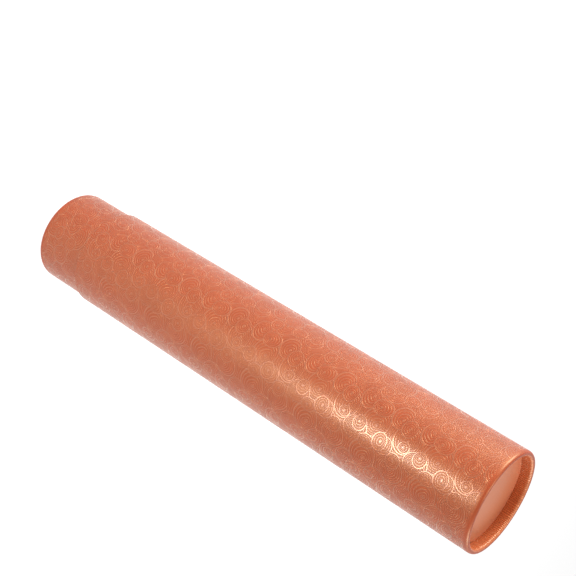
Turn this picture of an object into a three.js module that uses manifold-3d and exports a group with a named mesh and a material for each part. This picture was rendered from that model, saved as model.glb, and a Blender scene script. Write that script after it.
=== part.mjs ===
// A telescopic poster tube: two wound board tubes covered in embossed pearl paper.
// Each half is shut at one end by a recessed disc under an inward curled rim.
// The narrow half stands on its closed end, and the wide half slides down over it like a long cap.
// Millimetres, +Z up, origin at the centre of the rim that the tube stands on.
import * as THREE from "three";
import { mergeVertices } from "three/addons/utils/BufferGeometryUtils.js";
import Module from "manifold-3d";

// The wide half: its size over the paper, and how much of the narrow half it leaves showing when shut.
const OUTER_DIAMETER = 60;
const OUTER_LENGTH = 290;
const EXPOSED_LENGTH = 35;

// The sheets that the walls are made of, and the glue line between any two of them.
const PAPER_THICKNESS = 0.15;
const BOARD_THICKNESS = 0.9;
const GLUE_LINE = 0.05;

// The curled rim: its width across, how far it rounds over, the flat land pressed on its crest,
// and how deep the disc lies below that crest.
const RIM_WIDTH = 3;
const RIM_ROUND = 2.1;
const RIM_LAND = 0.7;
const RECESS_DEPTH = 6.6;
const DISC_THICKNESS = 1.5;

// Room for the halves to slide, and between the narrow half's mouth and the wide half's disc when shut.
const SLIDE_CLEARANCE = 0.3;
const SHUT_GAP = 0.3;

// The paper's overlap along its length, at the back of the tube.
const LAP_WIDTH = 12;
const LAP_MIDDLE = Math.PI / 2;

// How finely the round forms are faceted.
const SIDES = 64;
const CURL_STEPS = 3;
const LAP_STEPS = 4;

const TOTAL_LENGTH = EXPOSED_LENGTH + OUTER_LENGTH;
const WALL = PAPER_THICKNESS + GLUE_LINE + BOARD_THICKNESS;

const outerHalf = { radius: OUTER_DIAMETER / 2, length: OUTER_LENGTH };
const discStack = PAPER_THICKNESS + GLUE_LINE + DISC_THICKNESS;
const innerHalf = {
  radius: outerHalf.radius - WALL - SLIDE_CLEARANCE,
  length: TOTAL_LENGTH - RECESS_DEPTH - discStack - SHUT_GAP,
};

const wasm = await Module();
wasm.setup();

// A geometry as a manifold solid, with its shared vertices merged.
function solidFrom(geometry) {
  const bare = geometry.clone();
  bare.deleteAttribute("normal");
  bare.deleteAttribute("uv");
  const merged = mergeVertices(bare);
  return new wasm.Manifold(
    new wasm.Mesh({
      numProp: 3,
      vertProperties: merged.attributes.position.array,
      triVerts: new Uint32Array(merged.index.array),
    }),
  );
}

// A manifold solid as a geometry.
function geometryFrom(solid) {
  const mesh = solid.getMesh();
  const geometry = new THREE.BufferGeometry();
  geometry.setAttribute("position", new THREE.BufferAttribute(mesh.vertProperties, 3));
  geometry.setIndex(new THREE.BufferAttribute(mesh.triVerts, 1));
  geometry.computeVertexNormals();
  return geometry;
}

// A closed profile of [radius, height] points, anticlockwise, turned round the Z axis.
function turned(profile) {
  const points = profile.map(([radius, height]) => new THREE.Vector2(radius, height));
  return new THREE.LatheGeometry(points, SIDES).rotateX(Math.PI / 2);
}

// One face of a sheet that runs up the wall from the mouth, over the curl and down the inner leg.
// depth is how far the face lies below the paper's outside.
function sheetFace(half, depth) {
  const springing = half.length - RIM_ROUND;
  const legEnd = half.length - RECESS_DEPTH + GLUE_LINE;
  const across = (RIM_WIDTH - RIM_LAND) / 2 - depth;
  const up = RIM_ROUND - depth;
  const wallRadius = half.radius - depth;
  const legRadius = half.radius - RIM_WIDTH + depth;
  const face = [[wallRadius, 0]];
  for (let i = 0; i <= CURL_STEPS; i++) {
    const turn = (i / CURL_STEPS) * (Math.PI / 2);
    face.push([wallRadius - across * (1 - Math.cos(turn)), springing + up * Math.sin(turn)]);
  }
  for (let i = CURL_STEPS; i >= 0; i--) {
    const turn = (i / CURL_STEPS) * (Math.PI / 2);
    face.push([legRadius + across * (1 - Math.cos(turn)), springing + up * Math.sin(turn)]);
  }
  face.push([legRadius, legEnd]);
  return face;
}

// A sheet between two depths below the paper's outside, as one turned solid.
function curledSheet(half, outerDepth, innerDepth) {
  const outside = sheetFace(half, outerDepth);
  const inside = sheetFace(half, innerDepth).reverse();
  return turned([...outside, ...inside, outside[0]]);
}

// The strip where the paper's last edge overlaps its first, from the mouth to the curl.
function lapStrip(half) {
  const reach = LAP_WIDTH / half.radius / 2;
  const inner = half.radius - PAPER_THICKNESS / 2;
  const outer = half.radius + PAPER_THICKNESS;
  const arc = (radius, from, to) =>
    Array.from({ length: LAP_STEPS + 1 }, (_, i) => {
      const angle = from + ((to - from) * i) / LAP_STEPS;
      return new THREE.Vector2(radius * Math.cos(angle), radius * Math.sin(angle));
    });
  const section = new THREE.Shape([
    ...arc(outer, LAP_MIDDLE - reach, LAP_MIDDLE + reach),
    ...arc(inner, LAP_MIDDLE + reach, LAP_MIDDLE - reach),
  ]);
  return new THREE.ExtrudeGeometry(section, {
    depth: half.length - RIM_ROUND,
    bevelEnabled: false,
  });
}

// The wound board tube, its closed end curled inwards on itself.
function boardTube(half) {
  const outside = PAPER_THICKNESS + GLUE_LINE;
  return curledSheet(half, outside, outside + BOARD_THICKNESS);
}

// The embossed paper glued round the board, over the curl and down to the disc, with its lap.
function wrapPaper(half) {
  const sheet = solidFrom(curledSheet(half, 0, PAPER_THICKNESS));
  return geometryFrom(sheet.add(solidFrom(lapStrip(half))));
}

// A flat disc that fits the tube's bore, with its top face at the given height.
function disc(half, top, thickness) {
  const radius = half.radius - WALL - GLUE_LINE;
  const bottom = top - thickness;
  return turned([[0, bottom], [radius, bottom], [radius, top], [0, top]]);
}

const pearlPaper = new THREE.MeshStandardMaterial({
  color: 0xc8693f,
  roughness: 0.38,
  metalness: 0.45,
});
const smoothPaper = new THREE.MeshStandardMaterial({
  color: 0xd08058,
  roughness: 0.45,
  metalness: 0.3,
});
const board = new THREE.MeshStandardMaterial({
  color: 0xb79b78,
  roughness: 0.9,
  metalness: 0,
});

function named(name, geometry, material) {
  const mesh = new THREE.Mesh(geometry, material);
  mesh.name = name;
  return mesh;
}

// One half with its mouth at height 0 and its closed end up.
function tubeHalf(name, half) {
  const group = new THREE.Group();
  const faceHeight = half.length - RECESS_DEPTH;
  const discTop = faceHeight - PAPER_THICKNESS - GLUE_LINE;
  group.add(named(name + "_board_tube", boardTube(half), board));
  group.add(named(name + "_wrap_paper", wrapPaper(half), pearlPaper));
  group.add(named(name + "_disc_facing", disc(half, faceHeight, PAPER_THICKNESS), smoothPaper));
  group.add(named(name + "_end_disc", disc(half, discTop, DISC_THICKNESS), board));
  return group;
}

// The narrow half stands upside down on its closed end, so it is turned about Y, which keeps
// the lap at the back. The wide half hangs over it, mouth down.
const inner = tubeHalf("inner", innerHalf);
inner.rotation.y = Math.PI;
inner.position.z = innerHalf.length;

const outer = tubeHalf("outer", outerHalf);
outer.position.z = EXPOSED_LENGTH;

const tube = new THREE.Group();
tube.add(inner, outer);

export default tube;
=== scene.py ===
import math

import bpy
import numpy as np
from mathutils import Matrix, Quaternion, Vector


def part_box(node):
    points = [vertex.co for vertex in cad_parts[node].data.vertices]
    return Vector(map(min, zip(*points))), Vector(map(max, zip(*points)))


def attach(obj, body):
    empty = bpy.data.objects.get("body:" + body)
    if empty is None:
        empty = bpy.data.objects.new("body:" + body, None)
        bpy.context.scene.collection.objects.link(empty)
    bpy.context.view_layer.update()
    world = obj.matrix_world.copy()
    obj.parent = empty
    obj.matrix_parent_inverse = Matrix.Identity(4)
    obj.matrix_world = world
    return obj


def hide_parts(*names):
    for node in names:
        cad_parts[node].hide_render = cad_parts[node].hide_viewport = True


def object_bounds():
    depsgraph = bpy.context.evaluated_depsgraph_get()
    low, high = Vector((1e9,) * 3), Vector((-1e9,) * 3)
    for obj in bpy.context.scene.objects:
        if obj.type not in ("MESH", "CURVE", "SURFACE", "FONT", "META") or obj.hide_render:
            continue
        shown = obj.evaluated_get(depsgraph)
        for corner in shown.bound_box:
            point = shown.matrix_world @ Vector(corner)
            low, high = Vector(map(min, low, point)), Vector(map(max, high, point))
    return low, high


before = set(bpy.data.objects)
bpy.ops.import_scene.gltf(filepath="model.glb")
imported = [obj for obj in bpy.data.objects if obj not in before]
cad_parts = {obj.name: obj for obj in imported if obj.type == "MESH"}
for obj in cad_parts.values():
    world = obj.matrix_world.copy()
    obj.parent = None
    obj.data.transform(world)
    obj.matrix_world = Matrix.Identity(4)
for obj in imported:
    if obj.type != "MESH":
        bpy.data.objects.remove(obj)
cad_low, cad_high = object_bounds()

# The camera looks down on the recessed end of the standing tube, and is rolled so that the tube
# lies across the picture. Its place and lens were fitted to the tube's outline.
CAMERA_PLACE = Vector((0.0, -0.6095, 0.5066))
CAMERA_TARGET = Vector((-0.0395, 0.0, 0.1528))
CAMERA_ROLL = math.radians(120.24)
IMAGE_WIDTH_PX = 576
FOCAL_LENGTH_PX = 1228.7
SENSOR_MM = 36.0

camera_data = bpy.data.cameras.new("camera")
camera_data.sensor_width = SENSOR_MM
camera_data.lens = FOCAL_LENGTH_PX / IMAGE_WIDTH_PX * SENSOR_MM
camera = bpy.data.objects.new("camera", camera_data)
bpy.context.scene.collection.objects.link(camera)
camera.location = CAMERA_PLACE
camera.rotation_mode = "QUATERNION"
level = (CAMERA_TARGET - CAMERA_PLACE).to_track_quat("-Z", "Y")
camera.rotation_quaternion = level @ Quaternion((0, 0, 1), CAMERA_ROLL)
bpy.context.scene.camera = camera
bpy.context.scene.view_settings.view_transform = "Standard"

# The floor: a plain studio sheet under the tube, painted matt.
# It glows for the camera and in reflections, so that it looks white and keeps the tube's shadow.
FLOOR_SIZE = 12.0
FLOOR_COLOUR = (0.55, 0.55, 0.55, 1.0)
FLOOR_GLOW = 0.83
WHITE = (1.0, 1.0, 1.0, 1.0)


class Wire:
    """A shader socket that takes part in sums, where each operator adds one Math node. A wire
    without a socket starts the sums of a node tree."""

    def __init__(self, tree, socket=None):
        self.tree = tree
        self.socket = socket

    def node(self, kind, settings=None, output=0, **inputs):
        """One node of any kind. Its settings are set first, then each socket gets its value or its
        link. A socket goes by its name, with _ for a space, or by n and its number."""
        made = self.tree.nodes.new(kind)
        for key, value in (settings or {}).items():
            setattr(made, key, value)
        for key, value in inputs.items():
            place = int(key[1:]) if key[1:].isdigit() else key.replace("_", " ")
            if isinstance(value, Wire):
                self.tree.links.new(value.socket, made.inputs[place])
            else:
                made.inputs[place].default_value = value
        return Wire(self.tree, made.outputs[output])

    def maths(self, operation, first, second=0.0):
        """A Math node's operation on one number or two."""
        return self.node("ShaderNodeMath", {"operation": operation}, n0=first, n1=second)

    def __add__(self, other):
        return self.maths("ADD", self, other)

    def __radd__(self, other):
        return self.maths("ADD", other, self)

    def __sub__(self, other):
        return self.maths("SUBTRACT", self, other)

    def __rsub__(self, other):
        return self.maths("SUBTRACT", other, self)

    def __mul__(self, other):
        return self.maths("MULTIPLY", self, other)

    def __rmul__(self, other):
        return self.maths("MULTIPLY", other, self)

    def __truediv__(self, other):
        return self.maths("DIVIDE", self, other)

    def __rtruediv__(self, other):
        return self.maths("DIVIDE", other, self)

    def __abs__(self):
        return self.maths("ABSOLUTE", self)

    def root(self):
        """The square root."""
        return self.maths("SQRT", self)

    def floor(self):
        """The whole number below."""
        return self.maths("FLOOR", self)

    def fraction(self):
        """What is left over the whole number below."""
        return self.maths("FRACT", self)

    def most(self, other):
        """The larger of two numbers."""
        return self.maths("MAXIMUM", self, other)

    def least(self, other):
        """The smaller of two numbers."""
        return self.maths("MINIMUM", self, other)

    def to_and_fro(self, reach):
        """Rises from 0 to reach and falls back again, over and over."""
        return self.maths("PINGPONG", self, reach)

    def step(self, start, end):
        """0 before start and 1 after end, smooth between them."""
        settings = {"interpolation_type": "SMOOTHSTEP"}
        return self.node("ShaderNodeMapRange", settings, n0=self, n1=start, n2=end, n3=0.0, n4=1.0)

    def blend(self, first, second):
        """The first number where this is 0 and the second where it is 1."""
        return self.node("ShaderNodeMix", n0=self, n2=first, n3=second)

    def tint(self, first, second):
        """The first colour where this is 0 and the second where it is 1."""
        settings = {"data_type": "RGBA"}
        return self.node("ShaderNodeMix", settings, output=2, n0=self, n6=first, n7=second)

    def parts(self):
        """The three numbers of a vector or a colour."""
        split = self.node("ShaderNodeSeparateXYZ", Vector=self).socket.node
        return [Wire(self.tree, socket) for socket in split.outputs]


def finish_of(name, **fixed):
    """A Principled material with the sockets set that are the same all over the surface."""
    material = bpy.data.materials.new(name)
    material.use_nodes = True
    shader = material.node_tree.nodes["Principled BSDF"]
    for key, value in fixed.items():
        shader.inputs[key.replace("_", " ")].default_value = value
    return material


def feed(material, **wires):
    """Links to a material the wires of what changes over the surface."""
    shader = material.node_tree.nodes["Principled BSDF"]
    for key, wire in wires.items():
        wire.tree.links.new(wire.socket, shader.inputs[key.replace("_", " ")])


def seen_directly(start):
    """1 on camera, glossy and transmission rays, and 0 on the rays that light the object: the most
    of the three rays' masks."""
    camera_ray = start.node("ShaderNodeLightPath", output="Is Camera Ray")
    glossy_ray = start.node("ShaderNodeLightPath", output="Is Glossy Ray")
    glass_ray = start.node("ShaderNodeLightPath", output="Is Transmission Ray")
    return camera_ray.most(glossy_ray).most(glass_ray)


floor_finish = finish_of(
    "floor_paint",
    Base_Color=FLOOR_COLOUR,
    Roughness=1.0,
    Specular_IOR_Level=0.0,
    Emission_Color=WHITE,
)
feed(floor_finish, Emission_Strength=seen_directly(Wire(floor_finish.node_tree)) * FLOOR_GLOW)

edge = FLOOR_SIZE / 2
floor_mesh = bpy.data.meshes.new("studio_floor")
floor_mesh.from_pydata(
    [(-edge, -edge, 0), (edge, -edge, 0), (edge, edge, 0), (-edge, edge, 0)],
    [],
    [(0, 1, 2, 3)],
)
floor_mesh.materials.append(floor_finish)
floor = bpy.data.objects.new("studio_floor", floor_mesh)
bpy.context.scene.collection.objects.link(floor)
floor.location.z = cad_low.z

# The light: a white surround, large softboxes to the left, to the right and overhead, and a small
# low strip beside the camera.
SURROUND = 0.15
SURROUND_SEEN = 0.93

world = bpy.data.worlds.new("surround")
bpy.context.scene.world = world
world.use_nodes = True
background = world.node_tree.nodes["Background"]
background.inputs["Color"].default_value = WHITE
strength = seen_directly(Wire(world.node_tree)).blend(SURROUND, SURROUND_SEEN)
world.node_tree.links.new(strength.socket, background.inputs["Strength"])


def softbox(name, azimuth, elevation, distance, width, height, watts):
    """A lamp at a distance from the tube's middle and aimed at it. Its direction is sin(azimuth)
    to +X and -cos(azimuth) to Y, both times cos(elevation), and sin(elevation) up."""
    lamp = bpy.data.lights.new(name, "AREA")
    lamp.shape = "RECTANGLE"
    lamp.size = width
    lamp.size_y = height
    lamp.energy = watts
    turn = math.radians(azimuth)
    lift = math.radians(elevation)
    away = Vector(
        (math.sin(turn) * math.cos(lift), -math.cos(turn) * math.cos(lift), math.sin(lift))
    )
    box = bpy.data.objects.new(name, lamp)
    bpy.context.scene.collection.objects.link(box)
    box.location = Vector((0, 0, cad_high.z / 2)) + away * distance
    box.rotation_mode = "QUATERNION"
    box.rotation_quaternion = (-away).to_track_quat("-Z", "Y")
    box.visible_camera = False


softbox("left_softbox", azimuth=-80, elevation=11, distance=1.2, width=0.9, height=0.32, watts=18)
softbox("right_softbox", azimuth=108, elevation=36, distance=1.0, width=0.4, height=0.4, watts=5)
softbox("front_strip", azimuth=18, elevation=-11, distance=0.6, width=0.28, height=0.08, watts=2.3)
softbox("top_softbox", azimuth=-25, elevation=70, distance=1.2, width=0.4, height=0.4, watts=6)

# The board tubes: grey-brown board wound in a spiral from a strip, and cut to length.
# One end of each is curled inwards on itself by a die, with a flat land pressed on its crest.
# The bore is bare board, with a fine seam where the strip's edges meet.
MM = 0.001
PAPER = 0.15 * MM
BOARD = 0.9 * MM
GLUE = 0.05 * MM
RIM_WIDTH = 3 * MM
RIM_ROUND = 2.1 * MM
RIM_LAND = 0.7 * MM
DIE_REACH = 1.2 * MM
STRIP_WIDTH = 88 * MM
PLY = 0.3 * MM
TURN = 2 * math.pi
AROUND_BOARD = 192
CURL_ROWS = 12
PLAIN_ROWS = 2
SHARP_ANGLE = math.radians(50)


class Half:
    """One half of the tube, measured on its solids: its radius over the paper, its length, the
    height of its mouth, how deep its disc lies, and the sign that points from the mouth to the
    closed end along Z."""

    def __init__(self, name, closed_up):
        self.name = name
        self.body = name + "_half"
        paper_low, paper_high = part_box(name + "_wrap_paper")
        facing_low, facing_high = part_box(name + "_disc_facing")
        self.radius = paper_high.x
        self.length = paper_high.z - paper_low.z
        if closed_up:
            self.sign = 1
            self.mouth = paper_low.z
            self.recess = paper_high.z - facing_high.z
        else:
            self.sign = -1
            self.mouth = paper_high.z
            self.recess = facing_low.z - paper_low.z

    def place(self, around, radius, height):
        """Points at x = radius cos(around), y = radius sin(around) and z = mouth + sign times
        height. The angle takes the sign too, so that faces point outwards on both halves."""
        x = radius * np.cos(self.sign * around)
        y = radius * np.sin(self.sign * around)
        z = self.mouth + self.sign * height
        return np.stack(np.broadcast_arrays(x, y, z), axis=-1)


inner = Half("inner", closed_up=False)
outer = Half("outer", closed_up=True)


def sheet_face(half, depth, wall_rows, leg_rows):
    """One face of a wall sheet as radii and heights, at a depth below the paper's outside: straight
    up the wall to the die's reach below the curl, over the curl and straight down the inner leg.
    The curl is two quarter ellipses, across (1 - cos) wide and up sin high, with the flat land
    between them."""
    quarter = np.linspace(0, math.pi / 2, CURL_ROWS)
    across = (RIM_WIDTH - RIM_LAND) / 2 - depth
    up = RIM_ROUND - depth
    springing = half.length - RIM_ROUND
    wall_radius = half.radius - depth
    leg_radius = half.radius - RIM_WIDTH + depth
    leg_end = half.length - half.recess + GLUE
    radius = np.concatenate([
        np.full(wall_rows, wall_radius),
        wall_radius - across * (1 - np.cos(quarter)),
        leg_radius + across * (1 - np.cos(quarter[::-1])),
        np.full(leg_rows, leg_radius),
    ])
    height = np.concatenate([
        np.linspace(0, springing - DIE_REACH, wall_rows),
        springing + up * np.sin(quarter),
        springing + up * np.sin(quarter[::-1]),
        np.linspace(springing, leg_end, leg_rows + 1)[1:],
    ])
    return radius, height


def path_along(radius, height):
    """The distance gone at each point of a path: the running sum of the steps between points."""
    steps = np.hypot(np.diff(radius), np.diff(height))
    return np.concatenate([[0], steps.cumsum()])


def wall_sheet(name, points, across, along, finish):
    """A grid of points joined into a closed sheet: each row joins the next and the last joins the
    first, and so do the columns. The sheet map holds each column's distance across the flat
    sheet and each row's distance along it, in metres."""
    rows, columns = points.shape[:2]
    row, column = np.meshgrid(np.arange(rows), np.arange(columns), indexing="ij")
    next_row = (row + 1) % rows
    next_column = (column + 1) % columns
    corners = np.stack([
        row * columns + column,
        row * columns + next_column,
        next_row * columns + next_column,
        next_row * columns + column,
    ], axis=-1).reshape(-1, 4)
    u = np.stack([
        across[column], across[column + 1], across[column + 1], across[column]
    ], axis=-1)
    v = np.stack([along[row], along[row], along[next_row], along[next_row]], axis=-1)
    mesh = bpy.data.meshes.new(name)
    mesh.from_pydata(points.reshape(-1, 3), [], corners.tolist())
    sheet_map = mesh.uv_layers.new(name="sheet")
    sheet_map.data.foreach_set("uv", np.stack([u, v], axis=-1).astype(np.float32).ravel())
    mesh.polygons.foreach_set("use_smooth", np.ones(len(corners), bool))
    mesh.set_sharp_from_angle(angle=SHARP_ANGLE)
    mesh.materials.append(finish)
    mesh.update()
    piece = bpy.data.objects.new(name, mesh)
    bpy.context.scene.collection.objects.link(piece)
    return piece


# How the board's finish is mixed. A pair of numbers is where a soft edge starts and where it ends:
# in millimetres from the seam's middle, in plies from a ply's middle, and in how far a face points
# up or down.
BOARD_DARK = (0.27, 0.165, 0.09, 1)
BOARD_PALE = (0.64, 0.46, 0.30, 1)
BOARD_TONES = (-0.5, 1.0)
FIBRES_PER_METRE = 900.0
FIBRE_TONES = (0.3, 0.7)
CLOUDS_PER_METRE = 60.0
SEAM_EDGE_MM = (0.15, 0.55)
SEAM_SHADE = 0.6
SEAM_DEPTH = 2.0
GLUE_LINE_EDGE = (0.36, 0.5)
GLUE_LINE_SHADE = 0.5
CUT_EDGE_UPRIGHT = (0.8, 0.95)
BOARD_RELIEF = 0.06 * MM

board_finish = finish_of("bare_board", Roughness=0.9)
start = Wire(board_finish.node_tree)
place = start.node("ShaderNodeTexCoord", output="Object")
x, y, z = place.parts()
fibre = start.node(
    "ShaderNodeTexNoise", Vector=place, Scale=FIBRES_PER_METRE, Detail=6.0, Roughness=0.7
)
cloud = start.node("ShaderNodeTexNoise", Vector=place, Scale=CLOUDS_PER_METRE, Detail=3.0)
# The seam is a groove that goes round once in each strip's width along the axis.
wound = start.maths("ARCTAN2", y, x) / TURN + z / STRIP_WIDTH
from_seam = abs(wound.fraction() - 0.5) * (STRIP_WIDTH / MM)
seam = 1 - from_seam.step(*SEAM_EDGE_MM)
# The glue between the plies shows on a cut edge as darker rings, one for each ply's thickness.
plies_out = (x * x + y * y).root() / PLY
glue_line = abs(plies_out.fraction() - 0.5).step(*GLUE_LINE_EDGE)
upright = start.node("ShaderNodeNewGeometry", output="Normal").parts()[2]
cut_edge = abs(upright).step(*CUT_EDGE_UPRIGHT)
# The tone is half fibre and half cloud, and the seam and the glue lines darken it.
shade = fibre.step(*FIBRE_TONES) * 0.5 + cloud * 0.5 - seam * (1 - cut_edge) * SEAM_SHADE
shade = (shade - glue_line * cut_edge * GLUE_LINE_SHADE).step(*BOARD_TONES)
relief = fibre - seam * SEAM_DEPTH
feed(
    board_finish,
    Base_Color=shade.tint(BOARD_DARK, BOARD_PALE),
    Normal=start.node("ShaderNodeBump", Height=relief, Strength=0.6, Distance=BOARD_RELIEF),
)

for half in (inner, outer):
    around = np.linspace(0, TURN, AROUND_BOARD + 1)
    depth = PAPER + GLUE
    outside = sheet_face(half, depth, PLAIN_ROWS, PLAIN_ROWS)
    inside = sheet_face(half, depth + BOARD, PLAIN_ROWS, PLAIN_ROWS)
    radius = np.concatenate([outside[0], inside[0][::-1]])
    height = np.concatenate([outside[1], inside[1][::-1]])
    board_tube = wall_sheet(
        half.name + "_wound_board",
        half.place(around[:-1], radius[:, None], height[:, None]),
        around * half.radius,
        path_along(radius, height),
        board_finish,
    )
    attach(board_tube, half.body)
    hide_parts(half.name + "_board_tube")

# The wrap papers: pearl paper with overlapping rings pressed into it by a roller, glued round the
# board with a lengthwise lap at the back. It is curled in with the board, and the inner leg
# gathers it into fine pleats.
LAP_WIDTH = 12 * MM
LAP_RAMP = 2.5 * MM
LAP_MIDDLE = math.pi / 2
LAP_CUT = 0.15
LAP_PRESSED = 0.6
PLEATS = 150
PLEAT_HEIGHT = 0.28 * MM
PLEAT_GROWTH = 0.6
PLEAT_SHARPNESS = 1.4
MEAN_CREST = 0.68
AROUND_PAPER = 1200
WALL_ROWS = 12
LEG_ROWS = 8
# Each slow wave is its number round the tube, its height and where it starts.
SWAY_WAVES = ((9, 1.4, 1.0), (23, 0.9, 2.0))
UNEVEN_WAVES = ((31, 0.2, 0.0), (67, 0.12, 0.7))
# Painted light on the leg's pleated paper, pale as if lit: the leg's share and the crests' share (a
# painted highlight on each crest), and how they fade downwards into painted shade towards the disc.
LEG_PAINTED_LIGHT_SHARE = 0.35
CREST_PAINTED_HIGHLIGHT_SHARE = 0.65
PAINTED_LIGHT_AT_RIM = 1.95
PAINTED_SHADE_FADE = 1.5


def around_paper(half):
    """Angles round the tube from the lap's cut edge, evenly spaced but for a first column that is
    LAP_CUT as wide as the rest, which makes the cut edge crisp."""
    cut = LAP_MIDDLE + LAP_WIDTH / half.radius / 2
    even = np.linspace(0, TURN, AROUND_PAPER + 1)
    return cut + np.insert(even, 1, even[1] * LAP_CUT)


def lap_lift(half, around, height):
    """How far the overlapping paper stands off: one paper's thickness over the lap. It drops at
    the cut edge and runs out over the other edge on a smooth ramp, 3 r squared - 2 r cubed. It
    falls evenly to nothing towards the rim's crest, where the die has pressed it flat."""
    from_cut = (around - around[0]) * half.radius
    to_cut = TURN * half.radius - from_cut
    ramp = np.clip((LAP_WIDTH - to_cut) / LAP_RAMP, 0, 1)
    unpressed = np.clip((half.length - height) / RIM_ROUND - LAP_PRESSED, 0, 1)
    return PAPER * (ramp * ramp * (3 - 2 * ramp)) * unpressed


def slow_waves(around, waves):
    """A sum of sines round the tube: each wave's height times sin(number around + start)."""
    return sum(height * np.sin(number * around + start) for number, height, start in waves)


def pleat_crest(around):
    """How high the gathered paper stands, from 0 to 1: a raised sine with one crest for each
    pleat, to a power that sharpens it. Slow waves sway the crests sideways and make their heights
    uneven."""
    wave = 0.5 + 0.5 * np.sin(PLEATS * around + slow_waves(around, SWAY_WAVES))
    return wave ** PLEAT_SHARPNESS * (MEAN_CREST + slow_waves(around, UNEVEN_WAVES))


def painted_leg_light_tone(down, crest):
    """Painted light on the leg's pleated paper, how pale it is: a share of how far down the leg it
    lies and a share of its pleat's crest, a painted highlight, added, and then faded as it goes
    down, a painted shade towards the disc."""
    return (LEG_PAINTED_LIGHT_SHARE * down + CREST_PAINTED_HIGHLIGHT_SHARE * crest) * (PAINTED_LIGHT_AT_RIM - PAINTED_SHADE_FADE * down)


def point_values(piece, name, values):
    """Keeps one number for each point of a piece, for its finish to read."""
    attribute = piece.data.attributes.new(name, "FLOAT", "POINT")
    attribute.data.foreach_set("value", values.astype(np.float32).ravel())


# The roller's pattern, in millimetres on the flat sheet. It comes round again along the tube at
# every turn of the roller. A line is full height up to the first distance from its middle, and
# its flank ends at the second. A group's own lines take over within the outline edge.
ROLLER_TURN = 38.4
LINE_PITCH = 1.28
FIRST_LINE = 0.45
FINE_LINE = (0.10, 0.28)
FINE_HEIGHT = 0.8
BOLD_LINE_AT = 0.5
BOLD_LINE = (0.22, 0.42)
DOT = (0.45, 0.75)
OUTLINE_EDGE = (0.0, 0.12)
# A group is drawn between two limits in its squash across and along, its lean, its size as a share
# of the radius, and how far its middle is pushed off centre as a share of its size.
SQUASH_ACROSS = (0.85, 1.35)
SQUASH_ALONG = (0.95, 1.25)
LEAN = (-0.25, 0.25)
SIZE = (0.7, 1.0)
OFF_CENTRE = (-0.3, 0.3)


def ring_groups(x, y, cell, shift, seed, radius, wander, under=None):
    """Groups of concentric rings, one in each cell of a grid, as the height of their lines from 0
    to 1. Depth is how far a point lies inside the group's outline. There is a fine line at each
    pitch of depth, a bold one by the outline and a dot in the middle. Each group's place, squash,
    lean, size and off-centre rings are drawn from its cell's number. Over an under layer a group
    hides what it covers, and with none its lines run on outwards until they meet the next's."""
    across = x / cell[0] + shift[0]
    along = y / cell[1] + shift[1]
    column = across.floor()
    row = along.floor()
    roller_row = x.maths("FLOORED_MODULO", row, round(ROLLER_TURN / cell[1]))
    number = x.node("ShaderNodeCombineXYZ", X=column, Y=roller_row, Z=seed)
    first, second, third = x.node(
        "ShaderNodeTexWhiteNoise", output="Color", Vector=number
    ).parts()
    dx = (across - column - 0.5 + (first - 0.5) * wander) * cell[0] * first.blend(*SQUASH_ACROSS)
    dy = (along - row - 0.5 + (second - 0.5) * wander) * cell[1] * second.blend(*SQUASH_ALONG)
    lean = third.blend(*LEAN)
    dx, dy = dx + dy * lean, dy - dx * lean
    size = radius * third.blend(*SIZE)
    inward = 1 - ((dx * dx + dy * dy).root() / size).least(1.0)
    dx = dx + inward * size * second.blend(*OFF_CENTRE)
    dy = dy + inward * size * first.blend(*OFF_CENTRE)
    depth = size - (dx * dx + dy * dy).root()
    fine = 1 - (depth - FIRST_LINE).to_and_fro(LINE_PITCH / 2).step(*FINE_LINE)
    bold = 1 - abs(depth - BOLD_LINE_AT).step(*BOLD_LINE)
    dot = depth.step(size - DOT[1], size - DOT[0])
    height = (fine * FINE_HEIGHT).most(bold).most(dot)
    if under is None:
        return height
    return depth.step(*OUTLINE_EDGE).blend(under, height)


# The pearl coating: deep between the lines, smoother and glossier on them, and paler with painted
# light on the leg's pleats, which fades into painted shade towards the disc. A line at full height
# has a colour of its own, and adds its metal, roughness and coat to the ground's.
PEARL_GLOSS = (1.0, 0.77, 0.36, 1)
GROUND_DEEP = (0.29, 0.024, 0.005, 1)
GROUND_PALE = (0.35, 0.037, 0.010, 1)
LINE_COLOUR = (0.37, 0.068, 0.019, 1)
# The colour of the painted light on the leg's pleats.
LEG_PAINTED_LIGHT_COLOUR = (1.0, 0.30, 0.10, 1)
CLOUD_TONES = (0.3, 0.7)
CLOUD_SHARE = 0.7
GRAIN_SHARE = 0.3
LINE_METAL = 0.2
GROUND_ROUGHNESS = 0.46
LINE_ROUGHNESS = -0.18
GRAIN_ROUGHNESS = 0.1
GROUND_COAT = 0.12
LINE_COAT = 0.8
EMBOSS_HEIGHT = 0.14 * MM
GRAIN_HEIGHT = 0.05
GRAIN_PER_METRE = 2600.0
TONES_PER_METRE = 55.0

pearl_finish = finish_of(
    "pearl_paper",
    IOR=1.8,
    Specular_Tint=PEARL_GLOSS,
    Coat_IOR=1.5,
    Coat_Roughness=0.27,
)
start = Wire(pearl_finish.node_tree)
sheet = start.node("ShaderNodeUVMap", {"uv_map": "sheet"})
u, v = sheet.parts()[:2]
x = u / MM
y = v / MM
lines = ring_groups(x, y, cell=(19.2, 19.2), shift=(0.0, 0.0), seed=1, radius=9.0, wander=0.05)
lines = ring_groups(
    x, y, cell=(19.2, 19.2), shift=(0.5, 0.45), seed=2, radius=8.6, wander=0.12, under=lines
)
lines = ring_groups(
    x, y, cell=(19.2, 19.2), shift=(0.3, 0.05), seed=3, radius=7.4, wander=0.2, under=lines
)
lines = ring_groups(
    x, y, cell=(25.0, 12.8), shift=(0.8, 0.7), seed=4, radius=5.4, wander=0.3, under=lines
)
stamped = start.node("ShaderNodeAttribute", {"attribute_name": "stamped"}, output="Fac")
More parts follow.
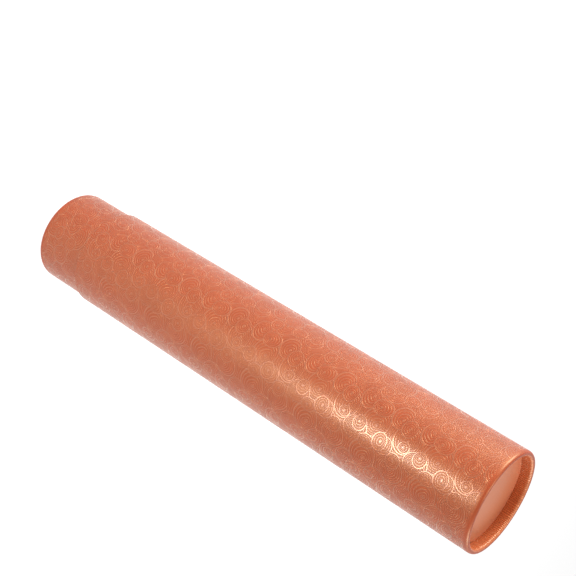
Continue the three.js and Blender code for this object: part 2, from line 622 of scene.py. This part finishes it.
# How much painted light the leg's pleats get, fading towards the disc as painted shade; the same
# mask also gives them the lines' gloss and relief.
leg_painted_light_and_gloss = start.node("ShaderNodeAttribute", {"attribute_name": "leg_painted_light_and_gloss"}, output="Fac")
lines = (lines * stamped).most(leg_painted_light_and_gloss)
grain = start.node(
    "ShaderNodeTexNoise", Vector=sheet, Scale=GRAIN_PER_METRE, Detail=3.0, Roughness=0.7
)
cloud = start.node("ShaderNodeTexNoise", Vector=sheet, Scale=TONES_PER_METRE, Detail=3.0)
tone = cloud.step(*CLOUD_TONES) * CLOUD_SHARE + grain * GRAIN_SHARE
ground = tone.tint(GROUND_DEEP, GROUND_PALE)
relief = lines + grain * GRAIN_HEIGHT
# On the leg the base colour is tinted towards the painted light's colour by that mask.
feed(
    pearl_finish,
    Base_Color=leg_painted_light_and_gloss.tint(lines.tint(ground, LINE_COLOUR), LEG_PAINTED_LIGHT_COLOUR),
    Metallic=lines * LINE_METAL,
    Roughness=GROUND_ROUGHNESS + lines * LINE_ROUGHNESS + (grain - 0.5) * GRAIN_ROUGHNESS,
    Coat_Weight=lines * LINE_COAT + GROUND_COAT,
    Normal=start.node("ShaderNodeBump", Height=relief, Strength=1.0, Distance=EMBOSS_HEIGHT),
)

for half in (inner, outer):
    around = around_paper(half)
    radius, height = sheet_face(half, 0.0, WALL_ROWS, LEG_ROWS)
    back_radius, back_height = sheet_face(half, PAPER, PLAIN_ROWS, PLAIN_ROWS)
    down = np.zeros((len(radius), 1))
    down[WALL_ROWS + CURL_ROWS:, 0] = np.linspace(0, 1, CURL_ROWS + LEG_ROWS) ** PLEAT_GROWTH
    crest = pleat_crest(around[:-1]) * down
    lift = lap_lift(half, around[:-1], height[:, None])
    front = half.place(
        around[:-1], radius[:, None] + lift - crest * PLEAT_HEIGHT, height[:, None]
    )
    back = half.place(around[:-1], back_radius[::-1, None], back_height[::-1, None])
    points = np.concatenate([front, back])
    along = path_along(radius, height)
    back_along = np.linspace(along[-1], 0, len(back_radius))
    paper = wall_sheet(
        half.name + "_pearl_wrap",
        points,
        (around - around[0]) * half.radius,
        np.concatenate([along, back_along]),
        pearl_finish,
    )
    on_wall = np.zeros(points.shape[:2])
    on_wall[:WALL_ROWS] = 1
    point_values(paper, "stamped", on_wall)
    # The painted light and shade on the leg, kept at each point of the front face.
    leg_painted_light_values = np.zeros(points.shape[:2])
    leg_painted_light_values[:len(radius)] = painted_leg_light_tone(down, crest)
    point_values(paper, "leg_painted_light_and_gloss", leg_painted_light_values)
    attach(paper, half.body)
    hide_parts(half.name + "_wrap_paper")

# The end discs and their facings: a disc of board under a smooth sheet of the same pearl paper.
# They are pushed in before the rim is curled, so that the curl's leg holds them.
SMOOTH_COLOUR = (0.58, 0.17, 0.08, 1)

smooth_finish = finish_of(
    "smooth_pearl_paper",
    Base_Color=SMOOTH_COLOUR,
    Roughness=0.5,
    IOR=1.8,
    Specular_Tint=PEARL_GLOSS,
    Coat_Weight=0.36,
    Coat_IOR=1.45,
    Coat_Roughness=0.3,
)
for half in (inner, outer):
    for part, finish in (("_end_disc", board_finish), ("_disc_facing", smooth_finish)):
        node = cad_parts[half.name + part]
        node.data.materials.clear()
        node.data.materials.append(finish)
